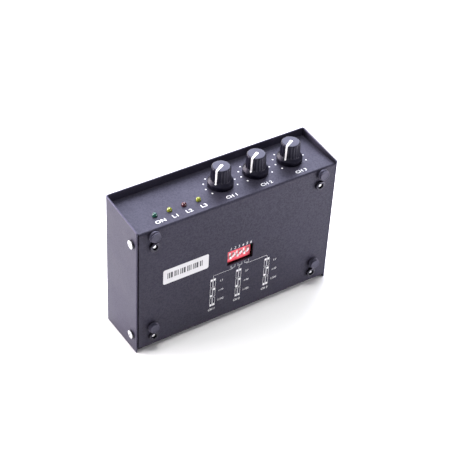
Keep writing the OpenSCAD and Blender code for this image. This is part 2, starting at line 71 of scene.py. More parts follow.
class Tree:
    """A material's node tree with a Principled shader."""

    def __init__(self, name):
        self.mat = bpy.data.materials.new(name)
        self.mat.use_nodes = True
        self.nt = self.mat.node_tree
        self.nt.nodes.clear()
        out = self.nt.nodes.new("ShaderNodeOutputMaterial")
        self.bsdf = self.nt.nodes.new("ShaderNodeBsdfPrincipled")
        self.nt.links.new(self.bsdf.outputs["BSDF"], out.inputs["Surface"])
        self.coord = self.nt.nodes.new("ShaderNodeTexCoord").outputs["Object"]

    def add(self, kind, **inputs):
        n = self.nt.nodes.new(kind)
        for k, v in inputs.items():
            self.put(n.inputs[k.replace("_", " ")], v)
        return n

    def put(self, socket, value):
        if isinstance(value, bpy.types.NodeSocket):
            self.nt.links.new(value, socket)
        else:
            socket.default_value = value

    def stretch(self, scale, turn=(0, 0, 0)):
        n = self.add("ShaderNodeMapping", Vector=self.coord, Scale=scale, Rotation=turn)
        return n.outputs["Vector"]

    def noise(self, scale, detail=3.0, rough=0.5, at=None, distort=0.0):
        n = self.add("ShaderNodeTexNoise", Vector=at or self.coord, Scale=scale, Detail=detail, Roughness=rough, Distortion=distort)
        return n.outputs["Fac"]

    def ramp(self, fac, *stops):
        n = self.add("ShaderNodeValToRGB", Fac=fac)
        e = n.color_ramp.elements
        while len(e) < len(stops):
            e.new(0.5)
        for el, (p, c) in zip(e, stops):
            el.position = p
            el.color = (*c, 1.0) if len(c) == 3 else c
        return n.outputs["Color"]

    def span(self, value, lo, hi, a, b):
        n = self.add("ShaderNodeMapRange", Value=value)
        n.clamp = True
        for k, v in zip(("From Min", "From Max", "To Min", "To Max"), (lo, hi, a, b)):
            n.inputs[k].default_value = v
        return n.outputs["Result"]

    def math(self, op, a, b):
        n = self.nt.nodes.new("ShaderNodeMath")
        n.operation = op
        self.put(n.inputs[0], a)
        self.put(n.inputs[1], b)
        return n.outputs[0]

    def mix(self, fac, a, b):
        n = self.nt.nodes.new("ShaderNodeMix")
        n.data_type = "RGBA"
        self.put(n.inputs["Factor"], fac)
        for s, v in ((n.inputs[6], a), (n.inputs[7], b)):
            self.put(s, (*v, 1.0) if isinstance(v, tuple) and len(v) == 3 else v)
        return n.outputs[2]

    def edges(self, radius):
        """1 along outer edges and corners, 0 on open faces."""
        bev = self.nt.nodes.new("ShaderNodeBevel")
        bev.samples = 4
        bev.inputs["Radius"].default_value = radius
        geo = self.nt.nodes.new("ShaderNodeNewGeometry")
        dot = self.nt.nodes.new("ShaderNodeVectorMath")
        dot.operation = "DOT_PRODUCT"
        self.put(dot.inputs[0], bev.outputs["Normal"])
        self.put(dot.inputs[1], geo.outputs["Normal"])
        return self.span(dot.outputs["Value"], 0.82, 0.99, 1.0, 0.0)

    def bump(self, height, strength, depth):
        n = self.add("ShaderNodeBump", Height=height, Strength=strength, Distance=depth)
        self.put(self.bsdf.inputs["Normal"], n.outputs["Normal"])

    def set(self, **inputs):
        for k, v in inputs.items():
            self.put(self.bsdf.inputs[k.replace("_", " ")], v)


def surface(name, dark, light, rough, metal=0.0, mottle=90.0, grain=1400.0, bump=0.2, depth=2e-5,
            wear=None, lay=None, **sockets):
    """A finish with mottled colour, uneven roughness, a fine grain and, with wear, rubbed edges."""
    t = Tree(name)
    at = t.stretch(lay) if lay else None
    patch = t.noise(mottle, 4.0, 0.6)
    fine = t.noise(grain, 3.0, 0.55, at)
    colour = t.ramp(patch, (0.3, dark), (0.7, light))
    mixed = t.math("MULTIPLY", t.math("ADD", patch, fine), 0.5)
    roughness = t.span(mixed, 0.35, 0.65, rough[0], rough[1])
    if wear:
        tone, amount, radius = wear
        rub = t.math("MULTIPLY", t.edges(radius), t.span(t.noise(420.0, 4.0, 0.7), 0.4, 0.62, 0.0, amount))
        colour = t.mix(rub, colour, tone)
    t.set(Base_Color=colour, Roughness=roughness, Metallic=metal)
    t.bump(fine, bump, depth)
    t.set(**sockets)
    return t


# ---- finishes --------------------------------------------------------------

M = {}

# Fine-texture powder coat: two sizes of grain, dull and shiny patches, rubbed edges.
def powder_coat(name, dark, light):
    t = Tree(name)
    coarse, fine = t.noise(1050.0, 2.0, 0.55), t.noise(2400.0, 2.0, 0.5)
    patch = t.noise(38.0, 4.0, 0.6)
    grain = t.math("ADD", t.math("MULTIPLY", coarse, 0.65), t.math("MULTIPLY", fine, 0.35))
    tone = t.ramp(patch, (0.3, dark), (0.7, light))
    rub = t.math("MULTIPLY", t.edges(0.0003), t.span(t.noise(300.0, 4.0, 0.7), 0.42, 0.64, 0.0, 0.6))
    t.set(Base_Color=t.mix(rub, tone, (0.045, 0.045, 0.052)))
    t.set(Roughness=t.span(t.math("ADD", patch, grain), 0.8, 1.2, 0.38, 0.52),
          Specular_IOR_Level=t.span(coarse, 0.36, 0.64, 0.15, 0.32), Specular_Tint=(0.83, 0.79, 1.0, 1.0))
    t.bump(grain, 0.75, 1e-4)
    return t.mat


M["case_paint"] = powder_coat("case_paint", (0.0212, 0.0197, 0.0310), (0.0268, 0.0250, 0.0390))
# painted light: a lighter copy of the coat, on the cover's inner face as painted fill light and on its rim as a painted
# highlight
M["case_painted_light"] = powder_coat("case_painted_light", (0.056, 0.052, 0.082), (0.070, 0.065, 0.102))
# painted highlight: a lighter copy of the coat along the free front edges of the cover's sides
M["case_painted_edge_highlight"] = powder_coat("case_painted_edge_highlight", (0.040, 0.037, 0.058), (0.050, 0.047, 0.073))

M["screw_bright"] = surface("screw_bright", (0.50, 0.50, 0.51), (0.66, 0.66, 0.67), (0.24, 0.4), 1.0, 700, 1500, 0.2, 2e-5,
                            ((0.9, 0.9, 0.89), 0.5, 0.0002), (1, 1, 0.25)).mat
# painted shade: a dark copy of the screw metal for the wall of the cover screws' heads
M["screw_painted_shade"] = surface("screw_painted_shade", (0.09, 0.09, 0.10), (0.15, 0.15, 0.16), (0.34, 0.5), 1.0, 700, 1500, 0.2, 2e-5,
                          ((0.3, 0.3, 0.3), 0.4, 0.0002), (1, 1, 0.25)).mat
M["screw_black"] = surface("screw_black", (0.006, 0.0056, 0.008), (0.011, 0.0104, 0.014), (0.2, 0.3), 0.0, 300, 1500, 0.08, 1e-5,
                           ((0.05, 0.05, 0.055), 0.5, 0.0001), Specular_Tint=(0.80, 0.76, 1.0, 1.0)).mat
M["screw_bare"] = surface("screw_bare", (0.72, 0.72, 0.72), (0.9, 0.9, 0.9), (0.3, 0.42), 1.0, 700, 2600, 0.15, 1e-5).mat
M["foot_rubber"] = surface("foot_rubber", (0.026, 0.025, 0.041), (0.042, 0.040, 0.064), (0.42, 0.56), 0.0, 420, 1500, 0.35, 4e-5,
                           ((0.05, 0.048, 0.06), 0.3, 0.0003), Specular_IOR_Level=0.45, Specular_Tint=(0.85, 0.82, 1.0, 1.0)).mat
M["knob_black"] = surface("knob_black", (0.0020, 0.0018, 0.0060), (0.0034, 0.0030, 0.0100), (0.32, 0.43), 0.0, 180, 2200, 0.12, 2e-5,
                          ((0.03, 0.029, 0.036), 0.35, 0.00018), Specular_IOR_Level=0.35, Specular_Tint=(0.83, 0.81, 1.0, 1.0)).mat
M["pointer_white"] = surface("pointer_white", (0.80, 0.80, 0.79), (0.90, 0.90, 0.89), (0.4, 0.55), 0.0, 300, 2500, 0.12, 1e-5).mat
M["print_white"] = surface("print_white", (0.74, 0.74, 0.75), (0.88, 0.88, 0.88), (0.45, 0.6), 0.0, 700, 3200, 0.2, 8e-6).mat
M["print_ink"] = surface("print_ink", (0.03, 0.03, 0.035), (0.075, 0.075, 0.08), (0.5, 0.7), 0.0, 900, 3200, 0.2, 5e-6).mat
M["switch_red"] = surface("switch_red", (0.76, 0.088, 0.115), (0.86, 0.115, 0.15), (0.28, 0.42), 0.0, 220, 2400, 0.15, 1.5e-5,
                          ((0.9, 0.2, 0.2), 0.4, 0.0002), Subsurface_Weight=0.25, Subsurface_Radius=(0.0012, 0.0004, 0.0004)).mat
M["lever_white"] = surface("lever_white", (0.84, 0.83, 0.80), (0.93, 0.92, 0.90), (0.35, 0.5), 0.0, 400, 2400, 0.12, 1e-5,
                           Subsurface_Weight=0.2, Subsurface_Radius=(0.0006, 0.0005, 0.0005)).mat
for lamp, dark, light in (("lamp_teal", (0.006, 0.06, 0.045), (0.012, 0.11, 0.08)),
                          ("lamp_lime", (0.17, 0.20, 0.012), (0.28, 0.31, 0.025)),
                          ("lamp_maroon", (0.045, 0.005, 0.012), (0.08, 0.010, 0.02))):
    M[lamp] = surface(lamp, dark, light, (0.1, 0.2), 0.0, 900, 2400, 0.05, 8e-6, Coat_Weight=0.5, Coat_Roughness=0.08,
                      Subsurface_Weight=0.3, Subsurface_Radius=(0.001, 0.001, 0.0006)).mat
M["label_paper"] = surface("label_paper", (0.60, 0.60, 0.60), (0.66, 0.66, 0.665), (0.5, 0.68), 0.0, 120, 3600, 0.25, 1e-5).mat
M["spacer_brass"] = surface("spacer_brass", (0.50, 0.36, 0.13), (0.68, 0.52, 0.22), (0.2, 0.36), 1.0, 200, 700, 0.15, 1e-5,
                            ((0.8, 0.66, 0.35), 0.6, 0.0002), (0.3, 1, 0.3)).mat
M["tinned_wire"] = surface("tinned_wire", (0.56, 0.55, 0.52), (0.74, 0.73, 0.70), (0.2, 0.4), 1.0, 500, 1500, 0.2, 1e-5).mat
M["control_steel"] = surface("control_steel", (0.40, 0.40, 0.41), (0.58, 0.58, 0.58), (0.24, 0.42), 1.0, 180, 800, 0.2, 1.5e-5,
                             ((0.75, 0.75, 0.74), 0.6, 0.0002), (1, 1, 0.2)).mat
M["shaft_metal"] = surface("shaft_metal", (0.58, 0.58, 0.57), (0.74, 0.74, 0.73), (0.2, 0.36), 1.0, 240, 900, 0.2, 1e-5,
                           ((0.85, 0.85, 0.84), 0.5, 0.0002), (0.2, 0.2, 3)).mat
M["socket_shell"] = surface("socket_shell", (0.55, 0.55, 0.54), (0.72, 0.72, 0.71), (0.18, 0.34), 1.0, 160, 900, 0.15, 1e-5,
                            ((0.82, 0.82, 0.8), 0.6, 0.0002), (1, 1, 0.15)).mat
M["socket_white"] = surface("socket_white", (0.70, 0.70, 0.67), (0.82, 0.82, 0.80), (0.4, 0.55), 0.0, 260, 2400, 0.15, 1.5e-5,
                            ((0.9, 0.9, 0.88), 0.4, 0.0002)).mat
M["contact_gold"] = surface("contact_gold", (0.66, 0.44, 0.13), (0.84, 0.62, 0.24), (0.16, 0.3), 1.0, 500, 1600, 0.1, 1e-5).mat
M["socket_black"] = surface("socket_black", (0.012, 0.012, 0.013), (0.024, 0.024, 0.026), (0.4, 0.55), 0.0, 200, 2200, 0.25, 2e-5,
                            ((0.07, 0.07, 0.07), 0.5, 0.0002)).mat
M["chip_black"] = surface("chip_black", (0.013, 0.013, 0.014), (0.025, 0.025, 0.026), (0.5, 0.66), 0.0, 400, 3000, 0.35, 2e-5,
                          ((0.06, 0.06, 0.06), 0.4, 0.00015)).mat
M["coupler_white"] = surface("coupler_white", (0.68, 0.67, 0.63), (0.80, 0.79, 0.76), (0.45, 0.6), 0.0, 300, 2600, 0.3, 2e-5).mat
M["crystal_can"] = surface("crystal_can", (0.55, 0.55, 0.55), (0.72, 0.72, 0.72), (0.16, 0.3), 1.0, 220, 900, 0.12, 1e-5,
                           ((0.85, 0.85, 0.85), 0.5, 0.0002), (1, 0.2, 1)).mat

# Board: solder mask over straight copper tracks at 2.54 mm, which change direction from field to field, and tinned pads.
t = Tree("board_green")
flat = t.stretch((1, 0, 1))
lines = []
for way in ("X", "Z"):
    w = t.add("ShaderNodeTexWave", Vector=flat, Scale=123.7, Distortion=0.0)
    w.bands_direction = way
    lines.append(t.span(w.outputs["Fac"], 0.84, 0.92, 0.0, 1.0))
fields = t.add("ShaderNodeTexVoronoi", Vector=flat, Scale=70.0, Randomness=0.6)
fields.distance = "CHEBYCHEV"
pick = t.add("ShaderNodeSeparateColor", Color=fields.outputs["Color"])
which = t.span(pick.outputs["Red"], 0.49, 0.51, 0.0, 1.0)
track = t.math("ADD", t.math("MULTIPLY", lines[0], which), t.math("MULTIPLY", lines[1], t.math("SUBTRACT", 1.0, which)))
track = t.math("MULTIPLY", track, t.span(pick.outputs["Green"], 0.2, 0.22, 0.0, 1.0))
holes = t.add("ShaderNodeTexVoronoi", Vector=flat, Scale=393.7, Randomness=0.0)
pad = t.math("MULTIPLY", t.span(holes.outputs["Distance"], 0.26, 0.30, 1.0, 0.0), t.span(t.noise(260.0, 1.0, 0.4, flat), 0.56, 0.57, 0.0, 1.0))
patch = t.noise(140.0, 4.0, 0.6)
mask = t.ramp(patch, (0.3, (0.008, 0.07, 0.028)), (0.7, (0.014, 0.10, 0.042)))
t.set(Base_Color=t.mix(pad, t.mix(track, mask, (0.022, 0.15, 0.06)), (0.50, 0.48, 0.42)), Roughness=t.span(patch, 0.3, 0.7, 0.26, 0.4))
t.bump(t.math("ADD", t.math("MULTIPLY", t.math("MAXIMUM", track, pad), 0.8), t.math("MULTIPLY", t.noise(2000.0), 0.2)), 0.3, 3e-5)
M["board_green"] = t.mat

# Core: a stack of thin sheets.
t = Tree("core_steel")
sheets = t.add("ShaderNodeTexWave", Vector=t.coord, Scale=420.0, Distortion=0.6, Detail=2.0)
sheets.bands_direction = "Y"
patch = t.noise(160.0, 4.0, 0.6)
t.set(Base_Color=t.mix(sheets.outputs["Fac"], t.ramp(patch, (0.3, (0.10, 0.10, 0.11)), (0.7, (0.17, 0.165, 0.17))), (0.26, 0.26, 0.27)),
      Roughness=t.span(patch, 0.3, 0.7, 0.35, 0.55), Metallic=0.8)
t.bump(sheets.outputs["Fac"], 0.5, 6e-5)
M["core_steel"] = t.mat

# Winding under amber tape: turns show through as ridges.
t = Tree("coil_tape")
turns = t.add("ShaderNodeTexWave", Vector=t.coord, Scale=520.0, Distortion=0.8, Detail=2.0)
turns.bands_direction = "Z"
patch = t.noise(150.0, 4.0, 0.6)
t.set(Base_Color=t.mix(turns.outputs["Fac"], t.ramp(patch, (0.3, (0.42, 0.24, 0.03)), (0.7, (0.56, 0.34, 0.06))), (0.66, 0.44, 0.12)),
      Roughness=t.span(patch, 0.3, 0.7, 0.25, 0.4))
t.bump(turns.outputs["Fac"], 0.3, 4e-5)
M["coil_tape"] = t.mat

# Capacitor sleeve: shrunk film with fine wrinkles.
t = Tree("capacitor_sleeve")
patch = t.noise(120.0, 4.0, 0.6)
crease = t.noise(700.0, 4.0, 0.6, t.stretch((1, 0.15, 1)))
t.set(Base_Color=t.ramp(patch, (0.3, (0.010, 0.013, 0.05)), (0.7, (0.018, 0.024, 0.085))), Roughness=t.span(crease, 0.3, 0.7, 0.2, 0.36))
t.bump(crease, 0.25, 3e-5)
M["capacitor_sleeve"] = t.mat


# ---- mesh helpers ----------------------------------------------------------


def piece(name, bm, mats, body, stands_for=(), sharp=32.0, flat=False):
    """A finished piece from a mesh in millimetres: smooth inside its sharp edges, riding on its body."""
    bmesh.ops.recalc_face_normals(bm, faces=bm.faces[:])
    me = bpy.data.meshes.new(name)
    bm.to_mesh(me)
    bm.free()
    me.transform(Matrix.Scale(MM, 4))
    for m in mats if isinstance(mats, (list, tuple)) else [mats]:
        me.materials.append(m)
    me.polygons.foreach_set("use_smooth", [True] * len(me.polygons))
    me.set_sharp_from_angle(angle=math.radians(sharp))
    ob = bpy.data.objects.new(name, me)
    scene.collection.objects.link(ob)
    if flat:
        m = ob.modifiers.new("normals", "WEIGHTED_NORMAL")
        m.weight, m.keep_sharp = 90, True
    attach(ob, body)
    if stands_for:
        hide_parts(*stands_for)
    return ob


def rounded(points, steps=5):
    """A profile of (r, z) or (r, z, fillet) points with its fillets drawn as arcs."""
    out = []
    for i, p in enumerate(points):
        f = p[2] if len(p) > 2 else 0.0
        c = Vector(p[:2])
        if f <= 0 or i in (0, len(points) - 1):
            out.append(c)
            continue
        a, b = (Vector(points[i - 1][:2]) - c), (Vector(points[i + 1][:2]) - c)
        ua, ub = a.normalized(), b.normalized()
        half = math.acos(max(-1, min(1, ua.dot(ub)))) / 2
        cut = min(f / math.tan(half), a.length * 0.49, b.length * 0.49)
        f = cut * math.tan(half)
        centre = c + (ua + ub).normalized() * (f / math.sin(half))
        p0, p1 = c + ua * cut - centre, c + ub * cut - centre
        turn = math.atan2(p0.x * p1.y - p0.y * p1.x, p0.dot(p1))
        for k in range(steps + 1):
            t_ = turn * k / steps
            out.append(centre + Vector((p0.x * math.cos(t_) - p0.y * math.sin(t_), p0.x * math.sin(t_) + p0.y * math.cos(t_))))
    return out


def lathe(bm, profile, n=64, at=Matrix(), radius=None, index=0):
    """Turns a closed profile about Z. radius(r, z, angle) may change each point's radius."""
    rings = []
    for p in profile:
        r, z = p[0], p[1]
        if r < 1e-6:
            rings.append([bm.verts.new(at @ Vector((0, 0, z)))])
        else:
            ring = []
            for k in range(n):
                a = 2 * math.pi * k / n
                q = radius(r, z, a) if radius else r
                ring.append(bm.verts.new(at @ Vector((q * math.cos(a), q * math.sin(a), z))))
            rings.append(ring)
    for a, b in zip(rings, rings[1:]):
        if len(a) == 1 and len(b) == 1:
            continue
        for k in range(n):
            j = (k + 1) % n
            if len(a) == 1:
                f = bm.faces.new((a[0], b[k], b[j]))
            elif len(b) == 1:
                f = bm.faces.new((a[k], b[0], a[j]))
            else:
                f = bm.faces.new((a[k], b[k], b[j], a[j]))
            f.material_index = index
    return bm


def slab(bm, outline, lift, thick, plane):
    """A flat closed plate from a 2-D outline. plane maps (u, v, height) to the row frame."""
    lo = [bm.verts.new(plane(u, v, lift)) for u, v in outline]
    hi = [bm.verts.new(plane(u, v, lift + thick)) for u, v in outline]
    n = len(outline)
    bm.faces.new(hi)
    bm.faces.new(lo[::-1])
    for k in range(n):
        j = (k + 1) % n
        bm.faces.new((lo[k], lo[j], hi[j], hi[k]))


def loop_slab(bm, outer, inner, lift, thick, plane):
    """A flat closed ring between two outlines with the same number of points."""
    rings = [[bm.verts.new(plane(u, v, h)) for u, v in o] for o, h in ((outer, lift), (outer, lift + thick), (inner, lift + thick), (inner, lift))]
    n = len(outer)
    for a, b in zip(rings, rings[1:] + rings[:1]):
        for k in range(n):
            j = (k + 1) % n
            bm.faces.new((a[k], a[j], b[j], b[k]))


def rect(u0, v0, u1, v1, r=0.0, steps=4):
    if r <= 0:
        return [(u0, v0), (u1, v0), (u1, v1), (u0, v1)]
    out = []
    for cu, cv, a0 in ((u1 - r, v0 + r, -90), (u1 - r, v1 - r, 0), (u0 + r, v1 - r, 90), (u0 + r, v0 + r, 180)):
        for k in range(steps + 1):
            a = math.radians(a0 + 90 * k / steps)
            out.append((cu + r * math.cos(a), cv + r * math.sin(a)))
    return out


def disc(u, v, r, n=24):
    return [(u + r * math.cos(2 * math.pi * k / n), v + r * math.sin(2 * math.pi * k / n)) for k in range(n)]


def stroke(path, w):
    """The outline of a line of width w along a path, with mitred corners."""
    left, right = [], []
    for i, p in enumerate(path):
        p = Vector(p)
        d0 = (p - Vector(path[i - 1])).normalized() if i else None
        d1 = (Vector(path[i + 1]) - p).normalized() if i < len(path) - 1 else None
        d = (d0 or d1) if not (d0 and d1) else (d0 + d1).normalized()
        n = Vector((-d.y, d.x))
        k = 1.0 if not (d0 and d1) else 1.0 / max(0.4, n.dot(Vector((-d0.y, d0.x))))
        left.append(tuple(p + n * (w / 2 * k)))
        right.append(tuple(p - n * (w / 2 * k)))
    return right + left[::-1]


def bend(path, r, steps=5):
    """A path with its inner corners rounded."""
    return [tuple(p) for p in rounded([(*path[0],)] + [(*p, r) for p in path[1:-1]] + [(*path[-1],)], steps)]


def on_panel(u, v, h):
    return Vector((u, v, ZF + h))


def on_base(u, v, h):
    return Vector((u, YB - h, v))


def letters(bm, text, u, v, size, lift, thick, plane, wide=1.0, weight=0.0, slant=0.0):
    """Plain lettering as closed plates, centred on (u, v)."""
    cu = bpy.data.curves.new("letters", "FONT")
    cu.body, cu.size, cu.extrude, cu.offset, cu.resolution_u = text, size, thick / 2, weight, 3
    cu.align_x, cu.align_y, cu.shear = "CENTER", "CENTER", slant
    ob = bpy.data.objects.new("letters", cu)
    scene.collection.objects.link(ob)
    me = bpy.data.meshes.new_from_object(ob.evaluated_get(bpy.context.evaluated_depsgraph_get()))
    bpy.data.objects.remove(ob)
    bpy.data.curves.remove(cu)
    tmp = bmesh.new()
    tmp.from_mesh(me)
    bpy.data.meshes.remove(me)
    bmesh.ops.remove_doubles(tmp, verts=tmp.verts[:], dist=1e-4)
    us = [x.co.x for x in tmp.verts]
    vs = [x.co.y for x in tmp.verts]
    mu, mv = (min(us) + max(us)) / 2, (min(vs) + max(vs)) / 2
    seen = {}
    for x in tmp.verts:
        seen[x] = bm.verts.new(plane(u + (x.co.x - mu) * wide, v + x.co.y - mv, lift + thick / 2 + x.co.z))
    for f in tmp.faces:
        bm.faces.new([seen[x] for x in f.verts])
    tmp.free()


def brick(bm, lo, hi):
    """A box; returns its eight corners."""
    v = [bm.verts.new((x, y, z)) for x in (lo[0], hi[0]) for y in (lo[1], hi[1]) for z in (lo[2], hi[2])]
    for q in ((0, 1, 3, 2), (4, 6, 7, 5), (0, 4, 5, 1), (2, 3, 7, 6), (0, 2, 6, 4), (1, 5, 7, 3)):
        bm.faces.new([v[k] for k in q])
    return v


def soften(bm, width, angle=35.0, segments=2):
    bm.normal_update()
    edges = [e for e in bm.edges if len(e.link_faces) == 2 and e.calc_face_angle(0) > math.radians(angle)]
    bmesh.ops.bevel(bm, geom=edges, offset=width, segments=segments, profile=0.5, affect="EDGES", clamp_overlap=True)


def temp_object(bm):
    bmesh.ops.recalc_face_normals(bm, faces=bm.faces[:])
    me = bpy.data.meshes.new("temp")
    bm.to_mesh(me)
    bm.free()
    ob = bpy.data.objects.new("temp", me)
    scene.collection.objects.link(ob)
    return ob


def carve(body, *cutters, joined=()):
    """The mesh of body with the joined parts added and the cutters taken away. All of them are temporary."""
    for c in (*joined, *cutters):
        m = body.modifiers.new("cut", "BOOLEAN")
        m.operation, m.solver, m.object = "UNION" if c in joined else "DIFFERENCE", "EXACT", c
    bpy.context.view_layer.update()
    me = bpy.data.meshes.new_from_object(body.evaluated_get(bpy.context.evaluated_depsgraph_get()))
    for o in (body, *joined, *cutters):
        old = o.data
        bpy.data.objects.remove(o)
        bpy.data.meshes.remove(old)
    bm = bmesh.new()
    bm.from_mesh(me)
    bpy.data.meshes.remove(me)
    bmesh.ops.remove_doubles(bm, verts=bm.verts[:], dist=1e-4)
    return bm


def place(bm, template, at):
    """Copies a template mesh into bm."""
    seen = [bm.verts.new(at @ v.co) for v in template.verts]
    template.verts.index_update()
    for f in template.faces:
        g = bm.faces.new([seen[v.index] for v in f.verts])
        g.material_index = f.material_index


# ---- folded case -----------------------------------------------------------


def folded(bm, outer, inner, start, end):
    """A folded sheet: two matching paths, for its outer and its inner skin, swept from start(p) to end(p)."""
    rows = []
    for o, i in zip(outer, inner):
        rows.append([bm.verts.new(start(*o)), bm.verts.new(end(*o)), bm.verts.new(end(*i)), bm.verts.new(start(*i))])
    for a, b in zip(rows, rows[1:]):
        for k in range(4):
            j = (k + 1) % 4
            bm.faces.new((a[k], b[k], b[j], a[j]))
    bm.faces.new(rows[0])
    bm.faces.new(rows[-1][::-1])
    bmesh.ops.recalc_face_normals(bm, faces=bm.faces[:])


def corner(cx, cy, r, a0, a1, n=8):
    return [(cx + r * math.cos(math.radians(a0 + (a1 - a0) * k / n)), cy + r * math.sin(math.radians(a0 + (a1 - a0) * k / n))) for k in range(n + 1)]


def drill(bm, at, r, deep, chamfer=0.1):
    """Cutter for a round hole: the axis points out of the sheet, whose face is at 0."""
    lathe(bm, [(0, -deep), (r, -deep), (r, -chamfer), (r + chamfer + 0.5, 0.5), (0, 0.5)], 48, at)


def punch(bm, at, u, v, deep, chamfer=0.1):
    """Cutter for a rectangular hole of half sizes u and v."""
    rings = []
    for h, g in ((-deep, 0.0), (-chamfer, 0.0), (0.5, chamfer + 0.5)):
        rings.append([bm.verts.new(at @ Vector((x, y, h))) for x, y in rect(-u - g, -v - g, u + g, v + g, 0.12 + g, 3)])
    n = len(rings[0])
    for a, b in zip(rings, rings[1:]):
        for k in range(n):
            j = (k + 1) % n
            bm.faces.new((a[k], a[j], b[j], b[k]))
    bm.faces.new(rings[0][::-1])
    bm.faces.new(rings[-1])


def facing(axis, x, y, z):
    """A frame at a point whose Z axis points along the given direction."""
    turn_ = {"-Y": Matrix.Rotation(math.radians(90), 4, "X"), "+Z": Matrix(), "-Z": Matrix.Rotation(math.radians(180), 4, "X"),
             "+X": Matrix.Rotation(math.radians(90), 4, "Y"), "-X": Matrix.Rotation(math.radians(-90), 4, "Y")}[axis]
    return Matrix.Translation((x, y, z)) @ turn_


# Cover: back plate and two sides, with sloped front edges.
def rim(x, y):
    return Vector((x, y, ZF + LIP + (ZV - ZF - LIP) * (y - YB) / (YC - YB)))


out_path = [(-SIDE, YB)] + corner(-SIDE + 1.5, YC - 1.5, 1.5, 180, 90) + corner(SIDE - 1.5, YC - 1.5, 1.5, 90, 0) + [(SIDE, YB)]
in_path = [(1 - SIDE, YB)] + corner(-SIDE + 1.5, YC - 1.5, 0.5, 180, 90) + corner(SIDE - 1.5, YC - 1.5, 0.5, 90, 0) + [(SIDE - 1, YB)]
bm = bmesh.new()
folded(bm, out_path, in_path, lambda x, y: Vector((x, y, 0)), rim)
soften(bm, 0.44, 40, 5)
cuts = bmesh.new()
for s, side in ((-1, "-X"), (1, "+X")):
    for z in COVER_Z:
        drill(cuts, facing(side, s * SIDE, COVER_Y, z), 1.7, 1.6)
bm = carve(temp_object(bm), temp_object(cuts))
bm.normal_update()
for f in bm.faces:
    # painted light: the inner face of the back plate gets a lighter coat as painted fill light, the rim a lighter coat
    # as a painted highlight, and the sides' free edges a lighter coat as a painted edge highlight
    c = f.calc_center_median()
    if f.normal.y < -0.9 and abs(c.y - YC + 1) < 0.1 or c.z > rim(c.x, c.y).z - 0.5:
        f.material_index = 1
    elif c.y < YB + 0.5:
        f.material_index = 2
piece("case_cover", bm, [M["case_paint"], M["case_painted_light"], M["case_painted_edge_highlight"]], "chassis", ["top_cover"], 32, True)

# Chassis: base plate, control panel and rear panel, with four screw tabs.
out_path = [(YI, ZF)] + corner(YB + 1.5, ZF - 1.5, 1.5, 90, 180, 10) + corner(YB + 1.5, ZR + 1.5, 1.5, 180, 270, 10) + [(YI, ZR)]
in_path = [(YI, ZF - 1)] + corner(YB + 1.5, ZF - 1.5, 0.5, 90, 180, 10) + corner(YB + 1.5, ZR + 1.5, 0.5, 180, 270, 10) + [(YI, ZR + 1)]
bm = bmesh.new()
folded(bm, out_path, in_path, lambda y, z: Vector((BX0, y, z)), lambda y, z: Vector((BX1, y, z)))
soften(bm, 0.14, 40, 2)
tabs, cuts = bmesh.new(), bmesh.new()
for edge, inner, side, bx in ((BX0, BX0 + 1, "-X", BOARD_X[0]), (BX1, BX1 - 1, "+X", BOARD_X[1])):
    for z, bz in zip(COVER_Z, BOARD_Z):
        tab = bmesh.new()
        brick(tab, (min(edge, inner), YB + 0.6, z - 5.5), (max(edge, inner), YB + 12.4, z + 5.5))
        soften(tab, 0.14, 40, 2)
        place(tabs, tab, Matrix())
        tab.free()
        drill(cuts, facing(side, edge, COVER_Y, z), 1.5, 1.6)
        drill(cuts, facing("-Y", bx, YB, bz), 1.6, 1.4)
punch(cuts, facing("-Y", DIP_X, YB, DIP_Z), 9.4, 5.4, 2.0, 0.14)
for x in KNOB_X:
    drill(cuts, facing("+Z", x, KNOB_Y, ZF), 3.6, 1.4)
for x in LAMP_X:
    drill(cuts, facing("+Z", x, LAMP_Y, ZF), 1.7, 1.4, 0.06)
punch(cuts, facing("-Z", -44, YB + 14.6, ZR), 6.2, 5.6, 1.4)
punch(cuts, facing("-Z", -14, YB + 15.8, ZR), 8.2, 6.8, 1.4)
for x in (16, 32):
    drill(cuts, facing("-Z", x, YB + 13.7, ZR), 3.1, 1.4)
bm = carve(temp_object(bm), temp_object(cuts), joined=(temp_object(tabs),))
piece("case_chassis", bm, M["case_paint"], "chassis", ["base_chassis"], 32, True)

# ---- screws ----------------------------------------------------------------


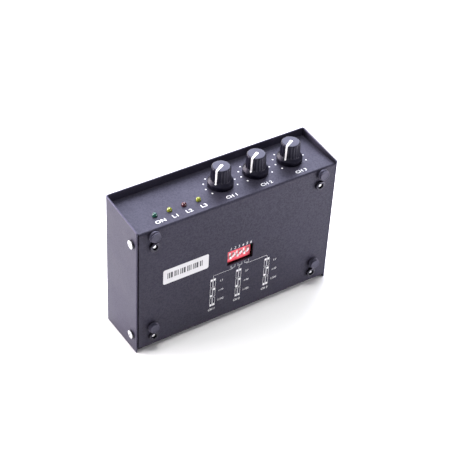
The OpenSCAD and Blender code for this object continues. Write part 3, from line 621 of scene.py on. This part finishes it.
def pan_screw(r, h, shank_r, shank_l):
    """Pan-head screw along +Z with a cross recess; the wall of the head has material 1, a dark metal that paints shade
    on it.
    """
    rise = 0.6
    big = (r * r + rise * rise) / (2 * rise)
    dome = [(r * k / 8, h - big + math.sqrt(big * big - (r * k / 8) ** 2)) for k in range(9)]
    bm = bmesh.new()
    prof = [(0, -shank_l), (shank_r - 0.3, -shank_l)]
    z = -shank_l + 0.3
    while z < -0.7:
        prof += [(shank_r, z), (shank_r - 0.22, z + 0.25)]
        z += 0.5
    prof += [(shank_r, -0.3), (shank_r, 0), (r - 0.25, 0), (r - 0.05, 0.08), (r, 0.3)]
    prof += [(r, h - rise - 0.12), (r - 0.06, h - rise + 0.08)] + [p for p in dome[::-1] if p[0] < r - 0.2]
    lathe(bm, prof, 72)
    body = temp_object(bm)
    cutters = []
    for a in (0, 90):
        c = bmesh.new()
        top, low = h + 0.3, h - 1.25
        vs = []
        for zz, l, w in ((low, 0.5, 0.2), (top, 1.5, 0.36)):
            vs += [c.verts.new(Matrix.Rotation(math.radians(a), 3, "Z") @ Vector((x, y, zz))) for x, y in ((-l, -w), (l, -w), (l, w), (-l, w))]
        for q in ((3, 2, 1, 0), (4, 5, 6, 7), (0, 1, 5, 4), (1, 2, 6, 5), (2, 3, 7, 6), (3, 0, 4, 7)):
            c.faces.new([vs[k] for k in q])
        cutters.append(temp_object(c))
    core = bmesh.new()
    lathe(core, [(0, h - 1.35), (0.4, h - 1.1), (0.8, h + 0.3), (0, h + 0.3)], 24)
    cutters.append(temp_object(core))
    bm = carve(body, *cutters)
    for f in bm.faces:
        c = f.calc_center_median()
        rr = math.hypot(c.x, c.y)
        # the head's wall gets material 1, the painted shade
        if rr > r - 0.3 and 0 <= c.z < h - rise:
            f.material_index = 1
    return bm


def socket_screw(r, h, shank_r, shank_l):
    """Socket-head screw along +Z: hexagon socket with a domed, bare centre of material 1."""
    prof = [(0, -shank_l), (shank_r - 0.3, -shank_l)]
    z = -shank_l + 0.3
    while z < -0.7:
        prof += [(shank_r, z), (shank_r - 0.22, z + 0.25)]
        z += 0.5
    prof += [(shank_r, -0.3), (shank_r, 0)] + [tuple(q) for q in rounded([(shank_r, 0), (r, 0, 0.1), (r, h, 0.5), (0, h)], 6)][1:]
    bm = bmesh.new()
    lathe(bm, prof, 72)
    cut, crown = bmesh.new(), bmesh.new()
    lathe(cut, [(0, h - 1.35), (2.0, h - 1.35), (2.0, h - 0.1), (2.4, h + 0.3), (0, h + 0.3)], 6)
    bm = carve(temp_object(bm), temp_object(cut))
    lathe(crown, [(0, h - 1.6), (1.15, h - 1.6), (1.15, h - 1.15)] + [(1.15 * math.cos(math.pi * k / 12), h - 1.15 + 0.4 * math.sin(math.pi * k / 12)) for k in range(1, 6)] + [(0, h - 0.75)], 36)
    bm = carve(temp_object(bm), joined=(temp_object(crown),))
    for f in bm.faces:
        c = f.calc_center_median()
        if h - 1.34 < c.z < h - 0.7 and math.hypot(c.x, c.y) < 1.16:
            f.material_index = 1
    return bm


screw = socket_screw(3.2, 1.9, 1.45, 4.0)
bm = bmesh.new()
for x in BOARD_X:
    for z in BOARD_Z:
        place(bm, screw, Matrix.Translation((x, YB, z)) @ Matrix.Rotation(math.radians(90), 4, "X") @ Matrix.Rotation(math.radians(30), 4, "Z"))
piece("board_screw_set", bm, [M["screw_black"], M["screw_bare"]], "chassis", ["board_screws"])

long_screw = pan_screw(2.8, 1.9, 1.45, 5.0)
bm = bmesh.new()
for s in (-1, 1):
    for z in COVER_Z:
        place(bm, long_screw, Matrix.Translation((s * SIDE, COVER_Y, z)) @ Matrix.Rotation(math.radians(s * 90), 4, "Y") @ Matrix.Rotation(math.radians(20), 4, "Z"))
piece("cover_screw_set", bm, [M["screw_bright"], M["screw_painted_shade"]], "chassis", ["cover_screws"])
screw.free()
long_screw.free()

# ---- feet ------------------------------------------------------------------

foot = rounded([(0, 0), (3.0, 0), (3.0, 0.8, 0.1), (3.7, 1.0, 0.12), (3.7, 1.75, 0.25), (3.35, 2.05, 0.08), (3.0, 2.1, 0.04), (3.0, 2.35, 0.04), (3.25, 2.45, 0.05), (3.25, 3.4, 0.3), (2.6, 3.4, 0.1),
                (2.48, 3.24, 0.1), (0, 3.24)])
bm = bmesh.new()
for x in FOOT_X:
    for z in FOOT_Z:
        lathe(bm, foot, 72, Matrix.Translation((x, YB, z)) @ Matrix.Rotation(math.radians(90), 4, "X"))
piece("foot_set", bm, M["foot_rubber"], "chassis", ["rubber_feet"])

# ---- knobs -----------------------------------------------------------------

FLUTES = 20
TOP = 13.9


def grip_r(z):
    return 6.4 - 0.4 * (z - 4.7) / (TOP - 1.0 - 4.7)


def fluted(r, z, a):
    if z < 4.75 or r < 5.3:
        return r
    step = 2 * math.pi / FLUTES
    t_ = (a - POINTER) / step
    k = round(t_)
    if k % FLUTES == 0:
        return r
    off = abs(t_ - k) * step * 6.0
    w = 0.56
    if off >= w:
        return r
    deep = 0.36 * math.sqrt(1 - (off / w) ** 2)
    return min(r, grip_r(z) - deep * min(1.0, (z - 4.75) / 0.25))


def knob_profile():
    p = [(0, TOP - 2.0), (3.02, TOP - 2.0), (3.02, 4.0), (5.7, 4.0), (5.7, 0.4)]
    p += [tuple(q) for q in rounded([(5.7, 0.4), (8.05, 0.4, 0.2), (8.05, 3.1, 0.12), (6.46, 4.58, 0.06), (6.4, 4.7)], 5)][1:]
    p += [(grip_r(z), z) for z in (4.75, 4.8, 4.9, 5.0, 6.0, 8.0, 10.0, 12.0)]
    p += [(5.0 + math.cos(math.pi * k / 20), TOP - 1.0 + math.sin(math.pi * k / 20)) for k in range(11)]
    p += [(3.5, TOP), (1.8, TOP), (0, TOP)]
    return p


def pointer_mesh(bm, at):
    """White inlay from behind the axis across the top, over the rim and down the side, standing 0.05 mm proud."""
    stations = []   # (reach, height, half width, mode: 0 flat top, 1 turned surface, normal)
    head, mid = 1.0, -0.5
    for k in range(1, 9):
        a = math.pi / 2 * k / 8
        stations.append((mid - head * math.cos(a), TOP, head * math.sin(a), 0.0, (0, 1)))
    for u in (0.5, 1.5, 2.5, 3.5, 4.3):
        stations.append((u, TOP, head - 0.3 * (u - mid) / 5.5, 0.0 if u < 3 else (u - 3) / 2, (0, 1)))
    for k in range(0, 11):
        a = math.pi / 2 * (1 - k / 10)
        stations.append((5.0 + math.cos(a), TOP - 1.0 + math.sin(a), 0.70 - 0.01 * k, 1.0, (math.cos(a), math.sin(a))))
    for z in (12.0, 10.0, 8.0, 6.0, 5.0, 4.75):
        stations.append((grip_r(z), z, 0.60 - 0.006 * (12.0 - z), 1.0, (1, 0.04)))
    stations.append((6.46, 4.61, 0.55, 1.0, (0.86, 0.5)))
    for k in range(0, 7):
        a = math.pi / 2 * k / 7
        q = 6.5 + 0.62 * math.sin(a)
        stations.append((q, 4.58 - (q - 6.46) * 0.931, 0.55 * math.cos(a), 1.0, (0.681, 0.732)))
    across = (-1.0, -0.6, -0.2, 0.2, 0.6, 1.0)
    skins = []
    for lift in (0.05, -0.12):
        skin = []
        for u, z, w, mode, n in stations:
            row = []
            for s in across:
                v = s * w
                o = lift if abs(s) < 1 else min(lift, 0.02)
                x = u + n[0] * o
                x = x * (1 - mode) + mode * math.sqrt(max(x * x - v * v, 0.01))
                row.append(bm.verts.new(at @ Vector((x, v, z + n[1] * o))))
            skin.append(row)
        skins.append(skin)
    top, low = skins
    for a, flip in ((top, False), (low, True)):
        for i in range(len(a) - 1):
            for k in range(len(across) - 1):
                q = (a[i][k], a[i + 1][k], a[i + 1][k + 1], a[i][k + 1])
                bm.faces.new(q[::-1] if flip else q)
    for i in range(len(top) - 1):
        bm.faces.new((top[i][0], low[i][0], low[i + 1][0], top[i + 1][0]))
        bm.faces.new((top[i][-1], top[i + 1][-1], low[i + 1][-1], low[i][-1]))
    for k in range(len(across) - 1):
        bm.faces.new((top[0][k], top[0][k + 1], low[0][k + 1], low[0][k]))
        bm.faces.new((top[-1][k], low[-1][k], low[-1][k + 1], top[-1][k + 1]))


for i, x in enumerate(KNOB_X, 1):
    at = Matrix.Translation((x, KNOB_Y, ZF))
    bm = bmesh.new()
    lathe(bm, knob_profile(), 20 * 18, at, fluted)
    piece("knob_%d_shell" % i, bm, M["knob_black"], "knob_body_%d" % i, ["knob_%d" % i], 40)
    bm = bmesh.new()
    pointer_mesh(bm, at @ Matrix.Rotation(POINTER, 4, "Z"))
    piece("knob_%d_inlay" % i, bm, M["pointer_white"], "knob_body_%d" % i, ["knob_pointer_%d" % i], 50)

# ---- lamps -----------------------------------------------------------------

for i, (x, slot) in enumerate(zip(LAMP_X, ("lamp_teal", "lamp_lime", "lamp_maroon", "lamp_lime")), 1):
    base, r = ZF + 2.1 - 5.3, 1.6
    prof = rounded([(0, base), (2.0, base, 0.12), (2.0, base + 1.0, 0.12), (r, base + 1.05, 0.05), (r, base + 3.7)], 3)
    prof += [(r * math.cos(a), base + 3.7 + r * math.sin(a)) for a in [math.pi / 2 * k / 12 for k in range(1, 12)]] + [(0, base + 5.3)]
    bm = bmesh.new()
    lathe(bm, prof, 48, Matrix.Translation((x, LAMP_Y, 0)))
    piece("lamp_%d_lens" % i, bm, M[slot], "chassis", ["led_%d" % i], 40)

# ---- slide switch ----------------------------------------------------------

bm = bmesh.new()
brick(bm, (DIP_X - 8.65, DIP_FACE, DIP_Z - 4.95), (DIP_X + 8.65, BOARD_Y, DIP_Z + 4.95))
soften(bm, 0.22, 35, 3)
slots, channels = bmesh.new(), bmesh.new()
lever_x = [DIP_X + (i - 3.5) * DIP_PITCH for i in range(1, 7)]
for x in lever_x:
    brick(slots, (x - 0.75, DIP_FACE - 1, DIP_Z - 2.25), (x + 0.75, DIP_FACE + 0.9, DIP_Z + 2.25))
    brick(channels, (x - 1.05, DIP_FACE + 0.22, DIP_Z - 4.3), (x + 1.05, DIP_FACE + 2.6, DIP_Z + 4.3))
bm = carve(temp_object(bm), temp_object(slots), temp_object(channels))
housing = piece("switch_housing", bm, M["switch_red"], "chassis", ["dip_body"], 40)
m = housing.modifiers.new("rounding", "BEVEL")
m.width, m.segments, m.limit_method, m.angle_limit, m.use_clamp_overlap = 0.00005, 2, "ANGLE", math.radians(50), False

for i, x in enumerate(lever_x, 1):
    z = DIP_Z + (0.95 if i % 2 == 0 else -0.95)
    f = DIP_FACE
    tip = [(f - 1.0, -0.95), (f - 1.0, -0.36)]
    tip += [(f - 1.0 + 0.3 * math.sin(math.pi * k / 6), -0.36 * math.cos(math.pi * k / 6)) for k in range(1, 6)]
    tip += [(f - 1.0, 0.36), (f - 1.0, 0.95)]
    side = [(f + 1.4, -0.95)] + tip + [(f + 1.4, 0.95)]
    bm = bmesh.new()
    a = [bm.verts.new((x - 0.65, y, z + w)) for y, w in side]
    b = [bm.verts.new((x + 0.65, y, z + w)) for y, w in side]
    bm.faces.new(a)
    bm.faces.new(b[::-1])
    for k in range(len(side)):
        j = (k + 1) % len(side)
        bm.faces.new((a[k], b[k], b[j], a[j]))
    bmesh.ops.recalc_face_normals(bm, faces=bm.faces[:])
    soften(bm, 0.12, 50, 3)
    foot_plate = bmesh.new()
    brick(foot_plate, (x - 0.92, f + 0.3, z - 3.15), (x + 0.92, f + 2.3, z + 3.15))
    soften(foot_plate, 0.1, 50, 2)
    bm = carve(temp_object(foot_plate), joined=(temp_object(bm),))
    piece("switch_lever_%d" % i, bm, M["lever_white"], "lever_body_%d" % i, ["dip_slider_%d" % i], 40)

# ---- printing on the control panel -----------------------------------------

INK = 0.03
bm = bmesh.new()
for x in KNOB_X:
    for a in range(210, -31, -30):
        slab(bm, disc(x + 10.39 * math.cos(math.radians(a)), KNOB_Y + 10.39 * math.sin(math.radians(a)), 0.52), 0, INK, on_panel)
for text, x in zip(("ON", "L1", "L2", "L3"), (-52.38, -42.34, -32.71, -22.57)):
    letters(bm, text, x, YB + 5.4, 3.75, 0, INK, on_panel, 1.22, 0.05)
for text, x in zip(("CH 1", "CH 2", "CH 3"), (-3.41, 21.85, 47.5)):
    letters(bm, text, x, YB + 4.9, 3.55, 0, INK, on_panel, 1.05, 0.05)
piece("panel_print", bm, M["print_white"], "chassis")

# ---- printing on the base plate --------------------------------------------

bm = bmesh.new()
for n in range(6):
    letters(bm, str(n + 1), -4.85 + 2.92 * n, 55.58, 2.6, 0, INK, on_base, 1.0, 0.02, 0.2)
LINE = 0.16
columns = (-17.05, 1.84, 23.15)
brackets = []
for pair in range(3):
    u0, u1 = lever_x[2 * pair] - 0.2, lever_x[2 * pair + 1] + 0.2
    slab(bm, stroke([(u0, 41.9), (u0, 40.0), (u1, 40.0), (u1, 41.9)], LINE), 0, INK, on_base)
    brackets.append((u0 + u1) / 2)
gap = 40.0 - LINE / 2 - 0.02
slab(bm, stroke(bend([(brackets[0], gap), (brackets[0], 39.15), (columns[0], 39.15), (columns[0], 36.9)], 0.9), LINE), 0, INK, on_base)
slab(bm, stroke([(brackets[1], gap), (brackets[1], 38.9), (columns[1], 38.6), (columns[1], 36.9)], LINE), 0, INK, on_base)
slab(bm, stroke(bend([(brackets[2], gap), (brackets[2], 39.15), (columns[2], 39.15), (columns[2], 36.9)], 0.9), LINE), 0, INK, on_base)
for n, cx in enumerate(columns, 1):
    for k, (left_up, right_up) in enumerate(((True, True), (False, True), (False, False))):
        hi = 36.7 - k * 7.7
        lo = hi - 6.95
        for s, up in ((-1, left_up), (1, right_up)):
            u0, u1 = cx + s * 1.02 - 0.88, cx + s * 1.02 + 0.88
            loop_slab(bm, rect(u0, lo, u1, hi, 0.25), rect(u0 + LINE, lo + LINE, u1 - LINE, hi - LINE, 0.1), 0, INK, on_base)
            v1 = hi - LINE - 0.12 if up else lo + LINE + 0.12 + 1.4
            slab(bm, rect(u0 + LINE + 0.12, v1 - 1.4, u1 - LINE - 0.12, v1, 0.15), 0, INK, on_base)
    for text, v in (("1:1", 33.0), ("1:10", 25.35), ("1:100", 17.7)):
        letters(bm, text, cx + 6.2, v, 2.1, 0, INK, on_base, 1.0, 0.0, 0.2)
    letters(bm, "CH %d" % n, cx - 0.4, 11.65, 2.3, 0, INK, on_base, 1.0, 0.02, 0.2)
piece("base_print", bm, M["print_white"], "chassis")

# Stripes on the label: a plain repeating rule, with no code in it.
bm = bmesh.new()
u, k = -50.3, 0
while u < -25.0:
    w = (0.55, 0.85, 1.35)[(k * k + k // 2) % 3]
    slab(bm, rect(u, 51.5, u + w, 55.8), 0.1, 0.02, on_base)
    u += w + (0.5, 0.5, 1.15)[k % 3]
    k += 1
piece("label_stripes", bm, M["print_ink"], "chassis")

# ---- finishes of the CAD nodes ---------------------------------------------

slot_of = {s["node"]: s["material_slot"] for s in frame["record"]["subparts"]}
bevel_of = {"label_sticker": 0.00003}
for name, ob in nodes.items():
    ob.data.materials.clear()
    ob.data.materials.append(M[slot_of[name]])
    if ob.hide_render:
        continue
    m = ob.modifiers.new("weld", "WELD")
    m.merge_threshold = 0.000004
    m = ob.modifiers.new("rounding", "BEVEL")
    m.width = bevel_of.get(name, 0.00012)
    m.segments, m.limit_method, m.angle_limit, m.use_clamp_overlap = 2, "ANGLE", math.radians(40), True
    m = ob.modifiers.new("normals", "WEIGHTED_NORMAL")
    m.keep_sharp = False

# ---- stage -----------------------------------------------------------------

bm = bmesh.new()
slab(bm, rect(-4000, -4000, 4000, 4000, 400, 8), -20.05, 20.0, lambda u, v, h: Vector((u, v, h)))
me = bpy.data.meshes.new("floor")
bmesh.ops.recalc_face_normals(bm, faces=bm.faces[:])
bm.to_mesh(me)
bm.free()
me.transform(Matrix.Scale(MM, 4))
floor = bpy.data.objects.new("floor", me)
scene.collection.objects.link(floor)
floor.data.materials.append(surface("floor_paper", (0.88, 0.88, 0.88), (0.90, 0.90, 0.90), (0.6, 0.7), 0.0, 3.0, 400.0, 0.02, 1e-5,
                                    Specular_IOR_Level=0.1).mat)

world = bpy.data.worlds.new("studio")
scene.world = world
world.use_nodes = True
back = world.node_tree.nodes["Background"]
back.inputs["Color"].default_value = (1.0, 0.98, 1.02, 1.0)
back.inputs["Strength"].default_value = 0.27


def soft_light(name, where, aim, size, power, colour):
    li = bpy.data.lights.new(name, "AREA")
    li.shape, li.size, li.size_y = "RECTANGLE", size[0], size[1]
    li.energy, li.color = power, colour
    ob = bpy.data.objects.new(name, li)
    scene.collection.objects.link(ob)
    ob.location = where
    ob.rotation_euler = (Vector(aim) - Vector(where)).to_track_quat("-Z", "Y").to_euler()
    ob.visible_camera = False
    return ob


soft_light("key_box", (0.0, -0.014, 1.6), (0, -0.014, 0), (0.2, 0.2), 11.5, (1.0, 0.99, 0.98))
soft_light("top_box", (-0.1, 0.45, 1.8), (0, 0, 0), (1.6, 1.6), 21, (0.92, 1.0, 0.97))
soft_light("back_box", (0.95, 1.35, 1.35), (0, 0, 0.1), (1.5, 1.5), 65, (0.785, 0.80, 1.0))
soft_light("left_box", (-1.5, 0.9, 0.35), (0, 0, 0.05), (1.2, 1.0), 70, (0.98, 0.91, 1.0))
soft_light("rear_left_box", (-1.15, 1.35, 0.35), (0, 0, 0.05), (1.2, 1.0), 46, (1.0, 0.86, 0.85))
soft_light("low_box", (-0.25, 2.0, 0.42), (0, 0, 0.1), (1.8, 0.7), 30, (1.0, 0.98, 0.95))
soft_light("right_box", (0.30, -0.22, 0.055), (0.07, -0.02, 0.05), (0.22, 0.08), 1.02, (1.0, 0.95, 1.0))

# ---- camera ----------------------------------------------------------------

cam = bpy.data.cameras.new("photo_camera")
cam.sensor_fit, cam.sensor_width, cam.lens = "HORIZONTAL", 36.0, 106.542
cam.clip_start, cam.clip_end = 0.05, 50
cam_ob = bpy.data.objects.new("photo_camera", cam)
scene.collection.objects.link(cam_ob)
right, down, forward = (Vector((0.8388691970, -0.5425772840, 0.0436847935)), Vector((-0.3135236830, -0.5472161470, -0.7760524394)),
                        Vector((0.4449734492, 0.6373102693, -0.6291535982)))
turn = Matrix((right, -down, -forward)).transposed()
cam_ob.matrix_world = Matrix.Translation((-0.36549, -0.52518, 0.57885)) @ turn.to_4x4()
scene.camera = cam_ob
scene.view_settings.view_transform = "Standard"
